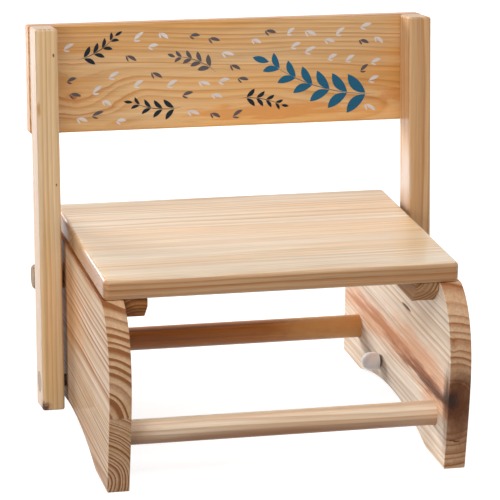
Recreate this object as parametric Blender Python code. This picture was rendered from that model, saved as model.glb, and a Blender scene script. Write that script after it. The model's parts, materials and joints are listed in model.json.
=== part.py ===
"""A small pine chair that turns into a two-step stool.

Two shaped side panels carry the seat board and two round rails. A back frame of two uprights
and a back board pivots on a bolt low down on each panel. It leans back on stop pegs, and it
swings forward over the seat until the back board lies in front of the stool as a low step.

Lengths are in metres, +Z is up, +X is the chair's right as the viewer in front sees it, and -Y
is its front. The origin is on the floor, midway along and between the side panels.
"""
import math

import bmesh
import bpy
from mathutils import Matrix, Vector

# Clearances
joint_gap = 0.0003              # between two pieces that touch
cut_overrun = 0.004             # how far a cutter runs past the face that it opens
weld_distance = 0.00001         # corners this close are one corner

# Seat board
seat_width = 0.330
seat_depth = 0.250
seat_thickness = 0.0188
seat_height = 0.1875            # top face above the floor
seat_corner_radius = 0.006      # upright corners
seat_top_round = 0.005          # rim of the top face
seat_bottom_round = 0.003       # rim of the underside

# Side panels
panel_thickness = 0.0203
panel_overhang = 0.0020         # outer face past the seat's end
panel_length = 0.3517           # front bow to rear edge
bow_overhang = 0.0402           # front bow ahead of the seat's front edge
bow_height = 0.088              # where the front edge is farthest forward
front_foot_setback = 0.0068     # front foot behind the bow
rear_foot_setback = 0.0015      # rear foot ahead of the rear edge
rear_bow_height = 0.062         # where the rear edge is farthest back
arch_half_span = 0.1125
arch_rise = 0.0173
arch_foot_radius = 0.030        # rounds the arch into each foot
panel_edge_round = 0.0018

# How the panel's bowed edges bend, as shares of their height and depth, bottom to top
front_low_bend_shares = ((0.43, 0.34), (1.0, 0.68))
front_high_bend_shares = ((0.0, 0.56), (0.424, 0.88))
rear_low_bend_shares = ((0.6, 0.4), (1.0, 0.7))
rear_high_bend_shares = ((0.0, 0.52), (0.40, 0.87))

# Rails
rail_diameter = 0.023
rail_height = 0.0424            # axis above the floor
front_rail_inset = 0.0427       # axis behind the front bow
rear_rail_inset = 0.0540        # axis ahead of the rear edge
rail_tenon = 0.010              # depth of each end in its panel

# Seat cleats
cleat_width = 0.022
cleat_drop = 0.0205
cleat_end_inset = 0.002         # behind the seat's front and rear edges
cleat_end_bevel = 0.0125
cleat_edge_round = 0.001
cleat_seat_screw_shares = (0.15, 0.85)
cleat_side_screw_shares = (0.30, 0.70)

# Back frame
pivot_from_seat_front = 0.1774
pivot_height = 0.033
lean_angle = math.radians(6.94)
upright_width = 0.0213          # across the chair
upright_depth = 0.034
upright_length = 0.3633
upright_tail = 0.0254           # length below the pivot
upright_gap = 0.0037            # between panel and upright
upright_edge_round = 0.0024
board_height = 0.1025
board_thickness = 0.0195
board_overhang = 0.0010         # past the uprights' outer faces
board_edge_round = 0.0022
board_screw_shares = (0.27, 0.73)

# Stop pegs
peg_diameter = 0.0235
peg_height = 0.1250             # axis above the floor
peg_tenon = 0.010
peg_end_chamfer = 0.0015

# Pivot hardware, one set on each side
bolt_diameter = 0.006
bolt_head_diameter = 0.013
bolt_head_thickness = 0.0034
bolt_head_chamfer = 0.0006
bolt_tip = 0.0015               # thread showing past the nut
socket_across_flats = 0.004
socket_depth = 0.0022
head_washer_diameter = 0.016
head_washer_thickness = 0.0012
counterbore_diameter = 0.020
counterbore_depth = 0.0095
plug_chamfer = 0.0005
spacer_diameter = 0.012
inner_washer_diameter = 0.012
inner_washer_thickness = 0.0018
nut_across_flats = 0.010
nut_height = 0.006
cap_diameter = 0.0175
cap_height = 0.0165
cap_dome_height = 0.0085
cap_mouth_round = 0.0008
cap_head_room = 0.001           # inside the cap, past the bolt's end

# Wood screws
screw_shank_diameter = 0.0035
screw_head_diameter = 0.0072
screw_head_height = 0.0026
screw_point_length = 0.004
seat_screw_length = 0.030
side_screw_length = 0.032
back_screw_length = 0.045

# Places worked out from the sizes above
panel_top = seat_height - seat_thickness - joint_gap
panel_front_y = -panel_length / 2
panel_rear_y = panel_length / 2
panel_outer_x = seat_width / 2 + panel_overhang
panel_inner_x = panel_outer_x - panel_thickness
seat_front_y = panel_front_y + bow_overhang
seat_rear_y = seat_front_y + seat_depth
cleat_front_y = seat_front_y + cleat_end_inset
cleat_length = seat_depth - 2 * cleat_end_inset
cleat_outer_x = panel_inner_x - joint_gap
cleat_inner_x = cleat_outer_x - cleat_width
cleat_bottom = panel_top - cleat_drop
pivot_y = seat_front_y + pivot_from_seat_front
upright_inner_x = panel_outer_x + upright_gap
upright_outer_x = upright_inner_x + upright_width
board_front = upright_depth / 2 + joint_gap
board_low = upright_length - upright_tail - board_height
board_width = 2 * (upright_outer_x + board_overhang)

# Facets of a full turn, and steps along the curves
fine_turn = 32
medium_turn = 24
coarse_turn = 16
hexagon = 6
arch_steps = 14
arch_foot_steps = 3
foot_edge_steps = 5             # from a foot up to its bow
high_edge_steps = 14            # from a bow up to the seat
dome_steps = 8
corner_steps = 4


def clear_scene():
    for old in list(bpy.data.objects):
        bpy.data.objects.remove(old, do_unlink=True)


def material(name, colour, roughness, metallic=0.0):
    made = bpy.data.materials.new(name)
    made.use_nodes = True
    shader = made.node_tree.nodes["Principled BSDF"]
    shader.inputs["Base Color"].default_value = (*colour, 1.0)
    shader.inputs["Roughness"].default_value = roughness
    shader.inputs["Metallic"].default_value = metallic
    made.diffuse_color = (*colour, 1.0)
    return made


def add_object(name, mesh_data, surface=None, parent=None, location=(0, 0, 0)):
    """Turns a bmesh into an object, with smooth round faces and sharp edges."""
    mesh = bpy.data.meshes.new(name)
    bmesh.ops.recalc_face_normals(mesh_data, faces=mesh_data.faces)
    mesh_data.to_mesh(mesh)
    mesh_data.free()
    mesh.shade_smooth()
    mesh.set_sharp_from_angle(angle=math.radians(35))
    made = bpy.data.objects.new(name, mesh)
    bpy.context.collection.objects.link(made)
    if surface:
        mesh.materials.append(surface)
    made.parent = parent
    made.location = location
    return made


def round_edges(target, radius, segments=2):
    """Eases every sharp edge of a piece of wood."""
    bevel = target.modifiers.new("eased_edges", "BEVEL")
    bevel.width = radius
    bevel.segments = segments
    bevel.limit_method = "ANGLE"
    bevel.angle_limit = math.radians(40)


def cut(target, name, mesh_data):
    """Cuts holes in a piece; the cutter lies in its parent's frame and may hold several bodies."""
    cutter = add_object(name, mesh_data, parent=target.parent)
    cutter.hide_render = True
    cutter.display_type = "WIRE"
    boolean = target.modifiers.new(name, "BOOLEAN")
    boolean.operation = "DIFFERENCE"
    boolean.solver = "EXACT"
    boolean.object = cutter


def bend(start, first, second, end, steps):
    """Points along a cubic curve, without its last one."""
    points = []
    for step in range(steps):
        t = step / steps
        weights = ((1 - t) ** 3, 3 * t * (1 - t) ** 2, 3 * t ** 2 * (1 - t), t ** 3)
        corners = (start, first, second, end)
        points.append(tuple(sum(w * c[i] for w, c in zip(weights, corners)) for i in (0, 1)))
    return points


def shared_point(start, end, shares):
    """A point at the given shares of the way from start to end, in depth and in height."""
    return tuple(start[i] + shares[i] * (end[i] - start[i]) for i in (0, 1))


def bowed_edge(start, end, bend_shares, steps):
    first = shared_point(start, end, bend_shares[0])
    second = shared_point(start, end, bend_shares[1])
    return bend(start, first, second, end, steps)


def arc(centre, radius, start_angle, end_angle, steps):
    """Points along an arc, both ends included, in the plane of depth and height."""
    points = []
    for step in range(steps + 1):
        angle = start_angle + (end_angle - start_angle) * step / steps
        points.append((centre[0] + radius * math.cos(angle), centre[1] + radius * math.sin(angle)))
    return points


def arch_outline():
    """The arch under a panel from its rear foot to its front foot, eased into both feet."""
    arch_radius = (arch_rise ** 2 + arch_half_span ** 2) / (2 * arch_rise)
    arch_centre = (0, arch_rise - arch_radius)
    reach = arch_radius + arch_foot_radius
    foot_height = arch_foot_radius - arch_centre[1]
    foot_y = math.sqrt(reach ** 2 - foot_height ** 2)
    slope = math.acos(foot_height / reach)
    down = -math.pi / 2
    up = math.pi / 2
    rear = arc((foot_y, arch_foot_radius), arch_foot_radius, down, down - slope, arch_foot_steps)
    top = arc(arch_centre, arch_radius, up - slope, up + slope, arch_steps)
    front = arc((-foot_y, arch_foot_radius), arch_foot_radius, down + slope, down, arch_foot_steps)
    return rear[:-1] + top + front[1:]


def panel_outline():
    """The side panel seen from the side: up the front bow, along the top and down the rear."""
    front_foot = (panel_front_y + front_foot_setback, 0)
    front_bow = (panel_front_y, bow_height)
    front_top = (seat_front_y, panel_top)
    rear_top = (seat_rear_y, panel_top)
    rear_bow = (panel_rear_y, rear_bow_height)
    rear_foot = (panel_rear_y - rear_foot_setback, 0)
    outline = bowed_edge(front_foot, front_bow, front_low_bend_shares, foot_edge_steps)
    outline += bowed_edge(front_bow, front_top, front_high_bend_shares, high_edge_steps)
    outline += [front_top]
    down_the_rear = bowed_edge(rear_foot, rear_bow, rear_low_bend_shares, foot_edge_steps)
    down_the_rear += bowed_edge(rear_bow, rear_top, rear_high_bend_shares, high_edge_steps)
    outline += [rear_top] + down_the_rear[::-1]
    return outline + arch_outline()


def prism(outline, thickness, across="X"):
    """A board: an outline in depth and height, or in plan, extruded by its thickness."""
    shape = bmesh.new()
    if across == "X":
        corners = [shape.verts.new((-thickness / 2, y, z)) for y, z in outline]
        along = (thickness, 0, 0)
    else:
        corners = [shape.verts.new((x, y, -thickness / 2)) for x, y in outline]
        along = (0, 0, thickness)
    face = shape.faces.new(corners)
    extruded = bmesh.ops.extrude_face_region(shape, geom=[face])["geom"]
    moved = [item for item in extruded if isinstance(item, bmesh.types.BMVert)]
    bmesh.ops.translate(shape, verts=moved, vec=along)
    return shape


def rectangle(low, high):
    return [(low[0], low[1]), (low[0], high[1]), (high[0], high[1]), (high[0], low[1])]


def rounded_rectangle(width, depth, radius, steps):
    outline = []
    for turn, (sign_x, sign_y) in enumerate(((1, 1), (-1, 1), (-1, -1), (1, -1))):
        centre = (sign_x * (width / 2 - radius), sign_y * (depth / 2 - radius))
        start = turn * math.pi / 2
        outline += arc(centre, radius, start, start + math.pi / 2, steps)
    return outline


def turned(profile, facets, aim, start):
    """A turned body: the profile holds (distance along the axis, radius) from start towards aim."""
    shape = bmesh.new()
    corners = [shape.verts.new((along, 0, radius)) for along, radius in profile]
    edges = []
    for place, corner in enumerate(corners):
        before = corners[place - 1]
        if corner.co.z > 0 or before.co.z > 0:
            edges.append(shape.edges.new((before, corner)))
    bmesh.ops.spin(
        shape, geom=edges, axis=(1, 0, 0), cent=(0, 0, 0), angle=math.tau, steps=facets
    )
    bmesh.ops.remove_doubles(shape, verts=shape.verts, dist=weld_distance)
    turn = Vector((1, 0, 0)).rotation_difference(Vector(aim)).to_matrix().to_4x4()
    bmesh.ops.transform(shape, matrix=Matrix.Translation(start) @ turn, verts=shape.verts)
    return shape


def joined(shapes):
    """One bmesh that holds several separate bodies."""
    whole = bmesh.new()
    for shape in shapes:
        carrier = bpy.data.meshes.new("carrier")
        shape.to_mesh(carrier)
        shape.free()
        whole.from_mesh(carrier)
        bpy.data.meshes.remove(carrier)
    return whole


def rod_profile(length, radius, chamfer=0.0):
    """A solid rod from 0 to length, with its far end chamfered if asked."""
    if chamfer:
        end = [(length - chamfer, radius), (length, radius - chamfer)]
    else:
        end = [(length, radius)]
    return [(0, 0), (0, radius)] + end + [(length, 0)]


def ring_profile(length, outer, inner):
    return [(0, inner), (0, outer), (length, outer), (length, inner)]


def screw_profile(length):
    """A countersunk wood screw with the face of its head at 0."""
    head = screw_head_diameter / 2
    shank = screw_shank_diameter / 2
    return [
        (0, 0),
        (0, head),
        (screw_head_height, shank),
        (length - screw_point_length, shank),
        (length, 0),
    ]


def screw_hole_profile(length):
    """The countersink and pilot hole that take a screw, open past the face of its head."""
    head = screw_head_diameter / 2 + joint_gap
    shank = screw_shank_diameter / 2 + joint_gap
    return [
        (-cut_overrun, 0),
        (-cut_overrun, head),
        (0, head),
        (screw_head_height, shank),
        (length + joint_gap, shank),
        (length + joint_gap, 0),
    ]


def add_screws(name, places, aim, length, steel, wooden_pieces, parent=None):
    """Drives one screw at each place, and opens its hole in every piece that it goes through."""
    for number, place in enumerate(places, start=1):
        screw = turned(screw_profile(length), coarse_turn, aim, place)
        add_object(f"{name}_{number}", screw, steel, parent)
    hole = screw_hole_profile(length)
    for piece in wooden_pieces:
        holes = joined([turned(hole, coarse_turn, aim, place) for place in places])
        cut(piece, f"{name}_holes_in_{piece.name}", holes)


def build_seat(wood):
    outline = rounded_rectangle(seat_width, seat_depth, seat_corner_radius, corner_steps)
    shape = prism(outline, seat_thickness, across="Z")
    top = seat_thickness / 2
    top_rim = [edge for edge in shape.edges if all(v.co.z > 0 for v in edge.verts)]
    bmesh.ops.bevel(
        shape, geom=top_rim, offset=seat_top_round, segments=corner_steps, profile=0.5,
        affect="EDGES",
    )
    low_rim = [edge for edge in shape.edges if all(v.co.z < 0 for v in edge.verts)]
    bmesh.ops.bevel(
        shape, geom=low_rim, offset=seat_bottom_round, segments=corner_steps, profile=0.5,
        affect="EDGES",
    )
    middle = (0, seat_front_y + seat_depth / 2, seat_height - top)
    return add_object("seat_board", shape, wood, location=middle)


def build_panel(side, hand, wood):
    shape = prism(panel_outline(), panel_thickness)
    middle_x = side * (panel_outer_x - panel_thickness / 2)
    panel = add_object(hand + "_side_panel", shape, wood, location=(middle_x, 0, 0))
    round_edges(panel, panel_edge_round)
    return panel


def rail_y_places():
    return {
        "front_rail": panel_front_y + front_rail_inset,
        "rear_rail": panel_rear_y - rear_rail_inset,
    }


def build_rail(name, y, wood):
    reach = panel_inner_x + rail_tenon
    profile = rod_profile(2 * reach, rail_diameter / 2)
    shape = turned(profile, fine_turn, (1, 0, 0), (-reach, 0, 0))
    return add_object(name, shape, wood, location=(0, y, rail_height))


def build_cleat(side, hand, wood):
    """A square strip under the seat, with the lower corner of each end bevelled off."""
    rear = cleat_front_y + cleat_length
    outline = [
        (cleat_front_y, cleat_bottom + cleat_end_bevel),
        (cleat_front_y, panel_top),
        (rear, panel_top),
        (rear, cleat_bottom + cleat_end_bevel),
        (rear - cleat_end_bevel, cleat_bottom),
        (cleat_front_y + cleat_end_bevel, cleat_bottom),
    ]
    middle_x = side * (cleat_inner_x + cleat_width / 2)
    shape = prism(outline, cleat_width)
    cleat = add_object(hand + "_seat_cleat", shape, wood, location=(middle_x, 0, 0))
    round_edges(cleat, cleat_edge_round)
    return cleat


def peg_place():
    """Where a stop peg's axis lies, so that the leaning upright rests on it."""
    behind = upright_depth / 2 + joint_gap + peg_diameter / 2
    rise = peg_height - pivot_height + behind * math.sin(lean_angle)
    along = rise / math.cos(lean_angle)
    y = pivot_y + along * math.sin(lean_angle) + behind * math.cos(lean_angle)
    return y, peg_height


def build_peg(side, hand, wood):
    y, z = peg_place()
    start_x = panel_outer_x - peg_tenon
    length = upright_outer_x - start_x
    profile = rod_profile(length, peg_diameter / 2, peg_end_chamfer)
    shape = turned(profile, medium_turn, (side, 0, 0), (side * start_x, 0, 0))
    return add_object(hand + "_stop_peg", shape, wood, location=(0, y, z))


def cut_panel(panel, side):
    """Opens the sockets for both rails and the peg, and the bore for the pivot bolt."""
    holes = []
    rail_socket = rod_profile(
        rail_tenon + joint_gap + cut_overrun, rail_diameter / 2 + joint_gap
    )
    for y in rail_y_places().values():
        mouth = (side * (panel_inner_x - cut_overrun), y, rail_height)
        holes.append(turned(rail_socket, fine_turn, (side, 0, 0), mouth))
    peg_y, peg_z = peg_place()
    peg_socket = rod_profile(
        peg_tenon + joint_gap + cut_overrun, peg_diameter / 2 + joint_gap
    )
    mouth = (side * (panel_outer_x + cut_overrun), peg_y, peg_z)
    holes.append(turned(peg_socket, medium_turn, (-side, 0, 0), mouth))
    bore = rod_profile(panel_thickness + 2 * cut_overrun, bolt_diameter / 2 + joint_gap)
    mouth = (side * (panel_outer_x + cut_overrun), pivot_y, pivot_height)
    holes.append(turned(bore, medium_turn, (-side, 0, 0), mouth))
    cut(panel, panel.name + "_holes", joined(holes))


def fasten_cleat(side, hand, seat, panel, cleat, steel):
    """Two screws from each cleat up into the seat, and two sideways into the panel."""
    middle_x = side * (cleat_inner_x + cleat_width / 2)
    middle_z = panel_top - cleat_drop / 2
    up_places = [
        (middle_x, cleat_front_y + share * cleat_length, cleat_bottom)
        for share in cleat_seat_screw_shares
    ]
    side_places = [
        (side * cleat_inner_x, cleat_front_y + share * cleat_length, middle_z)
        for share in cleat_side_screw_shares
    ]
    add_screws(
        hand + "_seat_screw", up_places, (0, 0, 1), seat_screw_length, steel, (cleat, seat)
    )
    add_screws(
        hand + "_side_screw", side_places, (side, 0, 0), side_screw_length, steel, (cleat, panel)
    )


def build_stool(woods, steel):
    seat = build_seat(woods["seat"])
    for name, y in rail_y_places().items():
        build_rail(name, y, woods["rail"])
    for side, hand in ((-1, "left"), (1, "right")):
        panel = build_panel(side, hand, woods["panel"])
        cleat = build_cleat(side, hand, woods["cleat"])
        build_peg(side, hand, woods["peg"])
        cut_panel(panel, side)
        fasten_cleat(side, hand, seat, panel, cleat, steel)


def build_upright(side, hand, frame, wood):
    """A bar outside the panel, with a stepped hole for the pivot bolt near its lower end."""
    outline = rectangle(
        (-upright_depth / 2, -upright_tail), (upright_depth / 2, upright_length - upright_tail)
    )
    middle_x = side * (upright_inner_x + upright_width / 2)
    shape = prism(outline, upright_width)
    upright = add_object(hand + "_upright", shape, wood, frame, (middle_x, 0, 0))
    round_edges(upright, upright_edge_round, 3)
    bore = bolt_diameter / 2 + joint_gap
    wide = counterbore_diameter / 2
    stepped = [
        (0, 0),
        (0, wide),
        (cut_overrun + counterbore_depth, wide),
        (cut_overrun + counterbore_depth, bore),
        (upright_width + 2 * cut_overrun, bore),
        (upright_width + 2 * cut_overrun, 0),
    ]
    mouth = (side * (upright_outer_x + cut_overrun), 0, 0)
    cut(upright, upright.name + "_bore", turned(stepped, fine_turn, (-side, 0, 0), mouth))
    return upright


def build_back_board(frame, wood):
    outline = rectangle(
        (board_front, board_low), (board_front + board_thickness, board_low + board_height)
    )
    board = add_object("back_board", prism(outline, board_width), wood, frame)
    round_edges(board, board_edge_round, 3)
    return board


def fasten_board(side, hand, frame, upright, board, steel):
    """Two screws from the board's rear face into each upright."""
    middle_x = side * (upright_inner_x + upright_width / 2)
    places = [
        (middle_x, board_front + board_thickness, board_low + share * board_height)
        for share in board_screw_shares
    ]
    add_screws(
        hand + "_back_screw", places, (0, -1, 0), back_screw_length, steel, (board, upright), frame
    )


def cap_profile(nut_corner, depth):
    """A domed cap, hollow where it takes the nut, with its mouth at 0."""
    outer = cap_diameter / 2
    pocket = nut_corner + joint_gap
    straight = cap_height - cap_dome_height
    dome = []
    for step in range(1, dome_steps):
        angle = step / dome_steps * math.pi / 2
        dome.append((straight + cap_dome_height * math.sin(angle), outer * math.cos(angle)))
    return [
        (0, pocket),
        (0, outer - cap_mouth_round),
        (cap_mouth_round, outer),
        (straight, outer),
        *dome,
        (cap_height, 0),
        (depth, 0),
        (depth, pocket),
    ]


def build_pivot(side, hand, frame, woods, metals, plastics):
    """One pivot from outside to inside: plug, bolt, washers, spacer, lock nut and its cap."""
    inward = (-side, 0, 0)
    bolt_radius = bolt_diameter / 2
    bore = bolt_radius + joint_gap

    def place(x):
        return (side * x, 0, 0)

    washer_start = upright_outer_x - counterbore_depth + joint_gap + head_washer_thickness
    head_start = washer_start + joint_gap + bolt_head_thickness
    plug_end = head_start + joint_gap
    inner_washer_start = panel_inner_x - joint_gap
    nut_start = inner_washer_start - inner_washer_thickness - joint_gap
    nut_end = nut_start - nut_height
    bolt_length = head_start - nut_end + bolt_tip
    cap_start = nut_start - joint_gap

    plug = rod_profile(
        upright_outer_x - plug_end, counterbore_diameter / 2 - joint_gap, plug_chamfer
    )
    plug_shape = turned(plug, fine_turn, (side, 0, 0), place(plug_end))
    add_object(hand + "_bore_plug", plug_shape, woods["plug"], frame)

    head = bolt_head_diameter / 2
    bolt_outline = [
        (0, 0),
        (0, head - bolt_head_chamfer),
        (bolt_head_chamfer, head),
        (bolt_head_thickness, head),
        (bolt_head_thickness, bolt_radius),
        (bolt_length - bolt_head_chamfer, bolt_radius),
        (bolt_length, bolt_radius - bolt_head_chamfer),
        (bolt_length, 0),
    ]
    bolt_shape = turned(bolt_outline, fine_turn, inward, place(head_start))
    bolt = add_object(hand + "_pivot_bolt", bolt_shape, metals["steel"], frame)
    socket = rod_profile(cut_overrun + socket_depth, socket_across_flats / math.sqrt(3))
    socket_shape = turned(socket, hexagon, inward, place(head_start + cut_overrun))
    cut(bolt, bolt.name + "_socket", socket_shape)

    rings = (
        ("_head_washer", washer_start, head_washer_thickness, head_washer_diameter, "zinc"),
        ("_inner_washer", inner_washer_start, inner_washer_thickness, inner_washer_diameter,
         "zinc"),
    )
    for ending, start, thickness, diameter, finish in rings:
        ring = turned(ring_profile(thickness, diameter / 2, bore), fine_turn, inward, place(start))
        add_object(hand + ending, ring, metals[finish], frame)

    spacer = ring_profile(upright_gap - 2 * joint_gap, spacer_diameter / 2, bore)
    spacer_shape = turned(spacer, fine_turn, inward, place(upright_inner_x - joint_gap))
    add_object(hand + "_spacer", spacer_shape, plastics["spacer"], frame)

    nut_corner = nut_across_flats / math.sqrt(3)
    nut = turned(rod_profile(nut_height, nut_corner), hexagon, inward, place(nut_start))
    nut_object = add_object(hand + "_lock_nut", nut, metals["zinc"], frame)
    nut_bore = rod_profile(nut_height + 2 * cut_overrun, bore)
    nut_cutter = turned(nut_bore, fine_turn, inward, place(nut_start + cut_overrun))
    cut(nut_object, nut_object.name + "_bore", nut_cutter)

    pocket_depth = cap_start - nut_end + bolt_tip + cap_head_room
    cap = turned(cap_profile(nut_corner, pocket_depth), fine_turn, inward, place(cap_start))
    add_object(hand + "_nut_cap", cap, plastics["cap"], frame)


def build_back_frame(woods, metals, plastics):
    """Everything that swings, hung on an empty whose X axis is the pivot's axis."""
    frame = bpy.data.objects.new("back_frame_pivot", None)
    bpy.context.collection.objects.link(frame)
    frame.location = (0, pivot_y, pivot_height)
    frame.rotation_euler = (-lean_angle, 0, 0)
    board = build_back_board(frame, woods["board"])
    for side, hand in ((-1, "left"), (1, "right")):
        upright = build_upright(side, hand, frame, woods["upright"])
        fasten_board(side, hand, frame, upright, board, metals["steel"])
        build_pivot(side, hand, frame, woods, metals, plastics)


def main():
    clear_scene()
    woods = {
        "seat": material("pale_pine", (0.83, 0.61, 0.40), 0.38),
        "panel": material("panel_pine", (0.74, 0.49, 0.28), 0.42),
        "rail": material("rail_pine", (0.71, 0.45, 0.22), 0.42),
        "cleat": material("cleat_pine", (0.66, 0.41, 0.21), 0.5),
        "peg": material("peg_pine", (0.70, 0.50, 0.32), 0.45),
        "upright": material("upright_pine", (0.70, 0.46, 0.26), 0.42),
        "board": material("board_pine", (0.64, 0.36, 0.16), 0.4),
        "plug": material("plug_pine", (0.62, 0.38, 0.19), 0.45),
    }
    metals = {
        "steel": material("zinc_steel", (0.58, 0.58, 0.60), 0.35, 1.0),
        "zinc": material("dark_zinc", (0.20, 0.19, 0.18), 0.45, 1.0),
    }
    plastics = {
        "spacer": material("brown_nylon", (0.09, 0.05, 0.03), 0.5),
        "cap": material("pale_plastic", (0.66, 0.60, 0.60), 0.35),
    }
    build_stool(woods, metals["steel"])
    build_back_frame(woods, metals, plastics)


main()
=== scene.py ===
import json
import math
import random

import bmesh
import bpy
from mathutils import Matrix, Vector


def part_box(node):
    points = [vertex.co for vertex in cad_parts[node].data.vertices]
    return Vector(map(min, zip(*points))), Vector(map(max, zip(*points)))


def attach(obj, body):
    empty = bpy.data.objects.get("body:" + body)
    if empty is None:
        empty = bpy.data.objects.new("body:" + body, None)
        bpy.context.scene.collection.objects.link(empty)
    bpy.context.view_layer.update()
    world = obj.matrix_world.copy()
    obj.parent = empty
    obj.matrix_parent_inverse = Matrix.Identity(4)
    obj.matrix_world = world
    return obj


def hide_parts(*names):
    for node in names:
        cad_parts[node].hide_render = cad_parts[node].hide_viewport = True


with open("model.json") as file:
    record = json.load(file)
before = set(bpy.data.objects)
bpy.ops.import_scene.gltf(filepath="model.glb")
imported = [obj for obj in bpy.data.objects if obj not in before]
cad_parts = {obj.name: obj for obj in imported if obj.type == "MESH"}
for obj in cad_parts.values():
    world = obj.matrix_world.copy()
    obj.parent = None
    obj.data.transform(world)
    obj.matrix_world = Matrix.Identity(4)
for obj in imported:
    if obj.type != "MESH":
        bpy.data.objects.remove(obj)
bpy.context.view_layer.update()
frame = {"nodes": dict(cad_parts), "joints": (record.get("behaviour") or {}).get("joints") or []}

# Side panels: two boards of glued pine, bowed front and rear, with an arch between the feet.
# Each is sawn to shape, its edges are eased, and it is bored for the rails, the stop peg and
# the pivot bolt.
side_low, side_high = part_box("left_side_panel")
side_thickness = side_high.x - side_low.x
side_outer_x = -side_low.x
side_inner_x = side_outer_x - side_thickness
side_front_y, side_rear_y = side_low.y, side_high.y
side_top = side_high.z
seat_low, seat_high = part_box("seat_board")
side_edge_round = 0.0018
side_edge_steps = 4
front_bow_height = 0.088  # where the front edge is farthest forward
rear_bow_height = 0.062
front_foot_setback = 0.0068
rear_foot_setback = 0.0015
front_foot_bend = (0.43, 0.34)  # each bend: how far its handle lies along the way between corners
front_bow_bends = ((1, 0.68), (0, 0.56))
front_top_bend = (0.424, 0.88)
rear_top_bend = (0.40, 0.87)
rear_bow_bends = ((0, 0.52), (1, 0.7))
rear_foot_bend = (0.6, 0.4)
arch_half_span = 0.1125
arch_rise = 0.0173
arch_foot_radius = 0.030
outline_steps = 14  # straight steps in each bend
outline_weld = 0.00005  # corners closer than this are merged
sharp_edge = math.radians(40)  # edges sharper than this are eased
smooth_edge = math.radians(32)  # edges flatter than this shade as one face
joint_gap = 0.0003
bore_run = 0.004  # how far a drill starts outside the wood
bore_facets = 64
bolt_hole = 0.0066


def deselect():
    """Leaves nothing selected, because an operator acts on all that is."""
    if bpy.context.object and bpy.context.object.mode != "OBJECT":
        bpy.ops.object.mode_set(mode="OBJECT")
    bpy.ops.object.select_all(action="DESELECT")


def make_active(piece):
    deselect()
    piece.select_set(True)
    bpy.context.view_layer.objects.active = piece


def apply_modifier(piece, kind, **settings):
    make_active(piece)
    modifier = piece.modifiers.new(kind.lower(), kind)
    for name, value in settings.items():
        setattr(modifier, name, value)
    bpy.ops.object.modifier_apply(modifier=modifier.name)


def drill(diameter, start, aim, depth):
    """A drill of the given diameter, which runs from start towards aim."""
    deselect()
    aim = Vector(aim).normalized()
    bpy.ops.mesh.primitive_cylinder_add(
        vertices=bore_facets, radius=diameter / 2, depth=depth,
        location=Vector(start) + aim * depth / 2,
        rotation=aim.to_track_quat("Z", "Y").to_euler(),
    )
    return bpy.context.object


def cut_away(piece, cutters):
    """Takes the cutters out of a piece and throws them away."""
    for cutter in cutters:
        apply_modifier(piece, "BOOLEAN", operation="DIFFERENCE", solver="EXACT", object=cutter)
        bpy.data.objects.remove(cutter, do_unlink=True)


def finish_piece(piece, name, surface, slot, body, *nodes):
    """Smooths a finished piece, gives it its surface and lets it stand for its CAD nodes."""
    make_active(piece)
    bpy.ops.object.transform_apply()
    bpy.ops.object.shade_smooth_by_angle(angle=smooth_edge)
    apply_modifier(piece, "WEIGHTED_NORMAL", keep_sharp=True)
    piece.name = piece.data.name = name
    piece.data.materials.clear()
    piece.data.materials.append(surface)
    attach(piece, body)
    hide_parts(*nodes)


def part_way(start, end, shares):
    """A point at the given shares of the way from start to end, in depth and in height."""
    return tuple(start[i] + shares[i] * (end[i] - start[i]) for i in (0, 1))


def outline_curve(*outlines):
    """Closed flat curves; each corner holds its point and the handles before and after it."""
    deselect()
    bpy.ops.curve.primitive_bezier_circle_add()
    piece = bpy.context.object
    piece.data.dimensions = "2D"
    piece.data.fill_mode = "NONE"
    piece.data.resolution_u = outline_steps
    piece.data.splines.clear()
    for corners in outlines:
        spline = piece.data.splines.new("BEZIER")
        spline.use_cyclic_u = True
        spline.bezier_points.add(len(corners) - 1)
        for knot, (point, before, after) in zip(spline.bezier_points, corners):
            knot.handle_left_type = knot.handle_right_type = "FREE"
            knot.co = (*point, 0)
            knot.handle_left = (*before, 0)
            knot.handle_right = (*after, 0)
    return piece


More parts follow.
